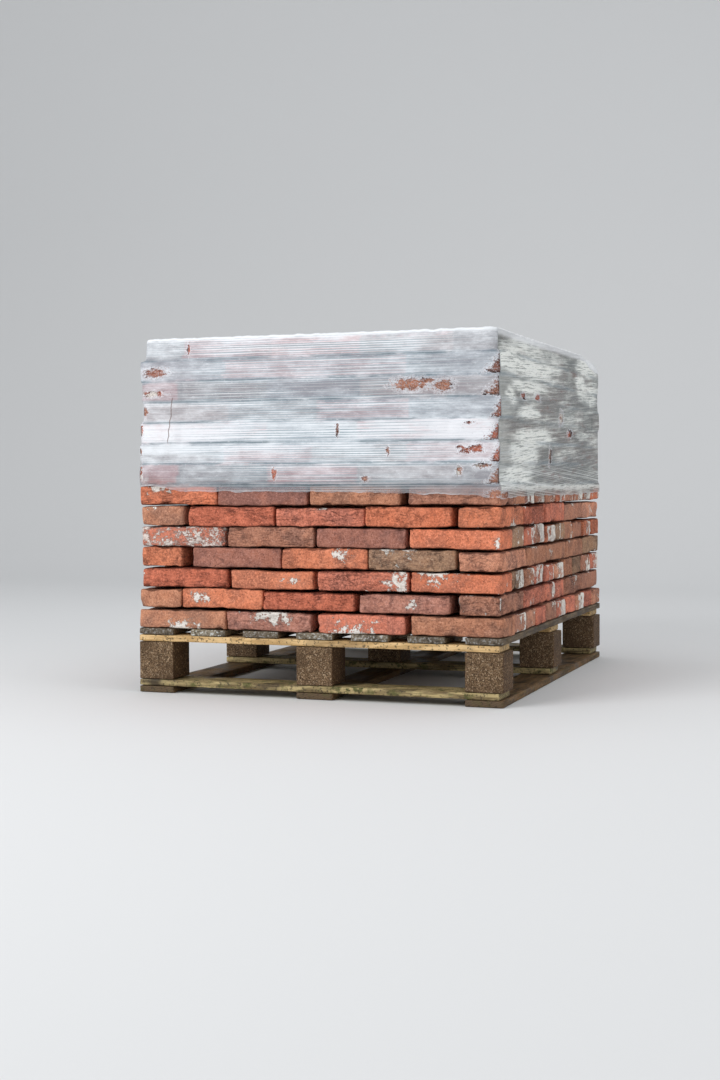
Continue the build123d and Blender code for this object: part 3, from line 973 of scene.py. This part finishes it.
def damp_film():
    f = Finish("damp stretch film")
    u, v, away = f.split(f.read("wrap"))
    under = f.read("under")
    torn, milk_shade_and_sheen, gap, rise, calm_shade = (f.read(name, "Fac") for name in ("torn", "milk_shade_and_sheen", "gap", "rise", "calm_shade"))
    spot_x, _, spot_z = f.split(f.add("ShaderNodeTexCoord", output="Object"))
    in_front = away.ramp(0.1, 0)
    slant = v - u * away * 0.1

    def field(along, up, seed, detail, rough=0.55, level=v):
        """Noise with its own fineness along the film and up it."""
        return f.noise(f.join(u * along, level * up, seed), 1, detail, rough)

    cloud = field(9, 30, 3, 7, 0.7)
    patch = field(5, 13, 7, 5, 0.62, slant)
    streak = field(6, 100, 2, 6, 0.74, slant)
    crinkle = field(60, 150, 4, 5, 0.74, slant)
    speck = field(200, 260, 6, 3, 0.7)

    # The edges of the turns, each laid at its own slant over the one before.
    turns = 0
    for foot, tilt, seed in ((0.655, 0.03, 9), (0.735, -0.022, 18), (0.815, 0.012, 27), (0.598, -0.01, 36)):
        sway = (f.noise(f.join(u * 2.2, seed, 0), 1, 2) - 0.5) * 0.03
        over = v - u * tilt + sway - (foot - 1.9 * tilt)
        turns = turns + over.ramp(0, 0.006) * over.ramp(0.1, 0)
    faced = milk_shade_and_sheen + (cloud - 0.5) * 1.55 + (patch - 0.5) * 0.7 + turns * 0.16 - 0.06
    # On the sides, patches and streaks set painted highlights over a painted shade.
    sided = milk_shade_and_sheen + (patch - 0.5) * 2.2 + (streak - 0.5) * 1.5 + (cloud - 0.5) * 0.8 + turns * 0.1
    level = faced * (1 - away) + (sided * 1.25 - 0.1) * away
    # Next to the front corner of the right side, an even painted grey shade.
    level = level * (1 - calm_shade * 0.85) + calm_shade * 0.34
    # How pale the film is: its milkiness with the painted sheen.
    pale_share = level.ramp(0.15, 0.6)

    damp = under * 0.42
    # On the sides the grey is a painted shade and the white a painted highlight.
    grey = f.mix(away, damp + (0.165, 0.255, 0.315), damp * 0.25 + (0.175, 0.205, 0.2))
    white = f.mix(away, (0.8, 0.835, 0.88), (0.96, 0.975, 0.93))
    tinged = in_front * (1 - level.ramp(0.4, 0.85) * 0.75)
    tinge = f.mix(tinged, (1, 1, 1), under * 0.65 + (0.76, 0.9, 0.93))
    colour = f.mix(level.ramp(0, 0.9), grey, white) * tinge
    # Painted shade where the film stands off the bricks, over the joints.
    groove_shade = gap.ramp(0.25, 0.85) * cloud.ramp(0.62, 0.4) * 0.55
    groove_shade_colour = f.mix(away, (0.24, 0.29, 0.35), (0.12, 0.14, 0.14))

    # Ridges along the stretch: a painted shade line with a painted highlight over it, and finer painted
    # shade lines between, thickest across the front.
    lined = spot_x.ramp(-0.44, -0.2) * spot_x.ramp(0.44, 0.16) * in_front
    lined = 0.22 + lined * 0.78 * field(2.6, 8, 9, 3, 0.6).ramp(0.3, 0.5)
    lined = lined * (1 - level.ramp(0.75, 1.05) * 0.45)
    ridge = field(0.8, 250, 1, 2, 0.6, slant)
    shine = field(0.8, 250, 1, 2, 0.6, slant + 0.0022)
    comb = f.sum("SINE", (v + (cloud - 0.5) * 0.003) * 1050)
    combed = field(2.4, 11, 21, 3, 0.6).ramp(0.4, 0.55) * lined

    # The joints between courses, where the film is pressed in: painted shade in thin lines that come and go.
    sag = (field(7, 4, 11, 3) - 0.5) * 0.01
    joint = f.sum("FRACT", (v + sag - bed_foot) / bed_pitch)
    joint = joint.least(1 - joint)
    pressed = field(5, 18.4, 12, 4, 0.65).ramp(0.44, 0.58) * v.ramp(0.922, 0.915)

    reflected_streak = field(16, 260, 14, 4, 0.7, slant)
    marked = 1 - away * (0.75 - pale_share * 0.75)
    # Low on the sides the film is drawn into strands that run down towards the back.
    fan = field(1.2, 300, 23, 2, 0.6, v + u * 0.1)
    # Darker patches on the sides, away from the whitest film, tinted by the clay behind.
    dark_patch = field(15, 34, 18, 4, 0.7).ramp(0.56, 0.66) * away
    dark_patch = dark_patch * (1 - pale_share * 0.8) * (1 - calm_shade) * 0.55
    on_top = v.ramp(0.948, 0.965)
    top_strip = (v + away * 0.01).ramp(0.922, 0.934) * (1 - on_top) * 0.8
    strand = field(140, 9, 15, 4, 0.65)

    # Dirty water has run down from a tear at the left.
    wander = (f.noise(f.join(spot_z * 40, 0, 0), 1, 2) - 0.5) * 0.01
    run = abs(spot_x + 0.397 + (0.775 - spot_z) * 0.11 + wander).ramp(0.0019, 0.0007) * in_front
    run = run * spot_z.ramp(0.655, 0.67) * spot_z.ramp(0.783, 0.777)

    hem = rise.ramp(0.0055, 0.0015) * cloud.ramp(0.44, 0.58) * 0.7
    strained = torn + (field(70, 110, 8, 7, 0.84) - 0.5) * 3 * torn.ramp(0, 0.6)
    flake = field(240, 280, 13, 3, 0.6)
    colour = f.layers(
        colour,
        # Painted shade in the grooves.
        (groove_shade, groove_shade_colour),
        # Painted highlight and painted shade of the ridges, and painted shade lines between them.
        (shine.ramp(0.53, 0.58) * lined * 0.8, (0.94, 0.97, 1)),
        (ridge.ramp(0.53, 0.58) * lined * 0.62, (0.22, 0.3, 0.35)),
        (comb.ramp(0.1, 0.8) * combed * 0.72, (0.33, 0.42, 0.48)),
        # Painted shade at the joints between courses.
        (joint.ramp(0.15, 0.05) * pressed * 0.4, (0.34, 0.41, 0.47)),
        (joint.ramp(0.05, 0.012) * pressed * (0.75 - away * 0.3), (0.15, 0.21, 0.24)),
        # Painted reflections on the sides: light streaks, and dark ones.
        (reflected_streak.ramp(0.54, 0.62) * away * (0.35 - calm_shade * 0.3), (0.88, 0.9, 0.87)),
        (reflected_streak.ramp(0.47, 0.41) * away * (0.22 + pale_share * 0.5), (0.09, 0.11, 0.105)),
        (streak.ramp(0.42, 0.33) * away * (0.2 + pale_share * 0.5), (0.08, 0.095, 0.09)),
        # Painted shade and painted highlight along the crinkles.
        (crinkle.ramp(0.56, 0.66) * (0.2 + away * 0.25) * marked, (0.16, 0.19, 0.21)),
        (crinkle.ramp(0.42, 0.34) * 0.35 * marked, (0.9, 0.93, 0.96)),
        (speck.ramp(0.6, 0.68) * 0.35, (0.92, 0.94, 0.96)),
        (fan.ramp(0.52, 0.57) * v.ramp(0.605, 0.57) * away * 0.75, (0.93, 0.96, 0.95)),
        (dark_patch, under * 0.3 + (0.06, 0.06, 0.065)),
        (top_strip, (0.88, 0.9, 0.93)),
        (strand.ramp(0.5, 0.62) * on_top * 0.42, under * 0.4 + (0.2, 0.23, 0.26)),
        (run * 0.85, (0.16, 0.1, 0.085)),
        (hem, (0.8, 0.83, 0.87)),
        (strained.ramp(0.6, 0.92) * 0.7, (0.84, 0.85, 0.9)),
        (flake.ramp(0.57, 0.63) * strained.ramp(0.45, 0.75) * 0.75, (0.22, 0.1, 0.09)),
    )

    clear = 0.8 + level.ramp(0, 0.7) * 0.18 + away * 0.08
    alpha = clear * (0.5 + rise.ramp(0, 0.045) * 0.5) * (1 - on_top * 0.25)
    alpha = alpha.most(hem * 0.8)
    alpha = alpha * (1 - strained.ramp(0.97, 1.03) * flake.ramp(0.605, 0.555))
    height = ridge * 0.5 + crinkle * (0.25 + away * 0.6) + streak * (0.25 + away * 0.5)
    return f.shade(
        Base_Color=colour, Roughness=0.3 + cloud * 0.2, Specular_IOR_Level=0.4, Alpha=alpha.least(1),
        Normal=f.bump(height, 0.003, 0.8),
    )


film = show("stretch_film_wrap", mesh)
mesh.materials.append(damp_film())
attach(film, "root")
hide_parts("stretch_film")

# Floor, light and camera
# A plain pale floor that curves up behind, lit like an overcast day.

stage_mesh = bpy.data.meshes.new("floor")
sweep = [(-9, 0), (3.5, 0)]
sweep += [(3.5 + 2.5 * math.sin(a), 2.5 - 2.5 * math.cos(a)) for a in np.linspace(0.1, math.pi / 2, 16)]
sweep += [(6, 9)]
half_floor = 14
corners = [(side * half_floor, y, z) for y, z in sweep for side in (-1, 1)]
strips = [(i, i + 1, i + 3, i + 2) for i in range(0, len(corners) - 2, 2)]
stage_mesh.from_pydata(corners, [], strips)
stage_mesh.shade_smooth()
floor = show("floor", stage_mesh)
paint = Finish("pale floor")
stage_mesh.materials.append(paint.shade(Base_Color=(0.72, 0.73, 0.74, 1), Roughness=0.8))

world = bpy.data.worlds.new("sky")
bpy.context.scene.world = world
world.use_nodes = True
sky = world.node_tree.nodes["Background"].inputs
sky["Color"].default_value = (0.98, 0.99, 1.0, 1)
sky["Strength"].default_value = 0.6


def lamp(name, place, size, power):
    """A soft square lamp that faces the middle of the load."""
    light = bpy.data.lights.new(name, "AREA")
    light.size, light.energy = size, power
    holder = show(name, light)
    holder.location = place
    holder.rotation_euler = (Vector((0, 0, 0.5)) - Vector(place)).to_track_quat("-Z", "Y").to_euler()


lamp("front light", (-2.6, -4.4, 3.2), 3, 165)
lamp("side light", (4.6, -1.2, 3), 3, 45)
lamp("top light", (0.3, 0.5, 4.6), 3.5, 40)

lens = bpy.data.cameras.new("camera")
lens.lens, lens.sensor_width, lens.sensor_fit = 52.65, 36, "AUTO"
camera = show("camera", lens)
camera.location = (1.4813, -4.3472, 0.5644)
turn_left, tip_down, roll = 19.866, 2.2016, -0.2205
camera.rotation_euler = [math.radians(angle) for angle in (90 - tip_down, -roll, turn_left)]
bpy.context.scene.camera = camera

bpy.context.scene.view_settings.view_transform = "Standard"
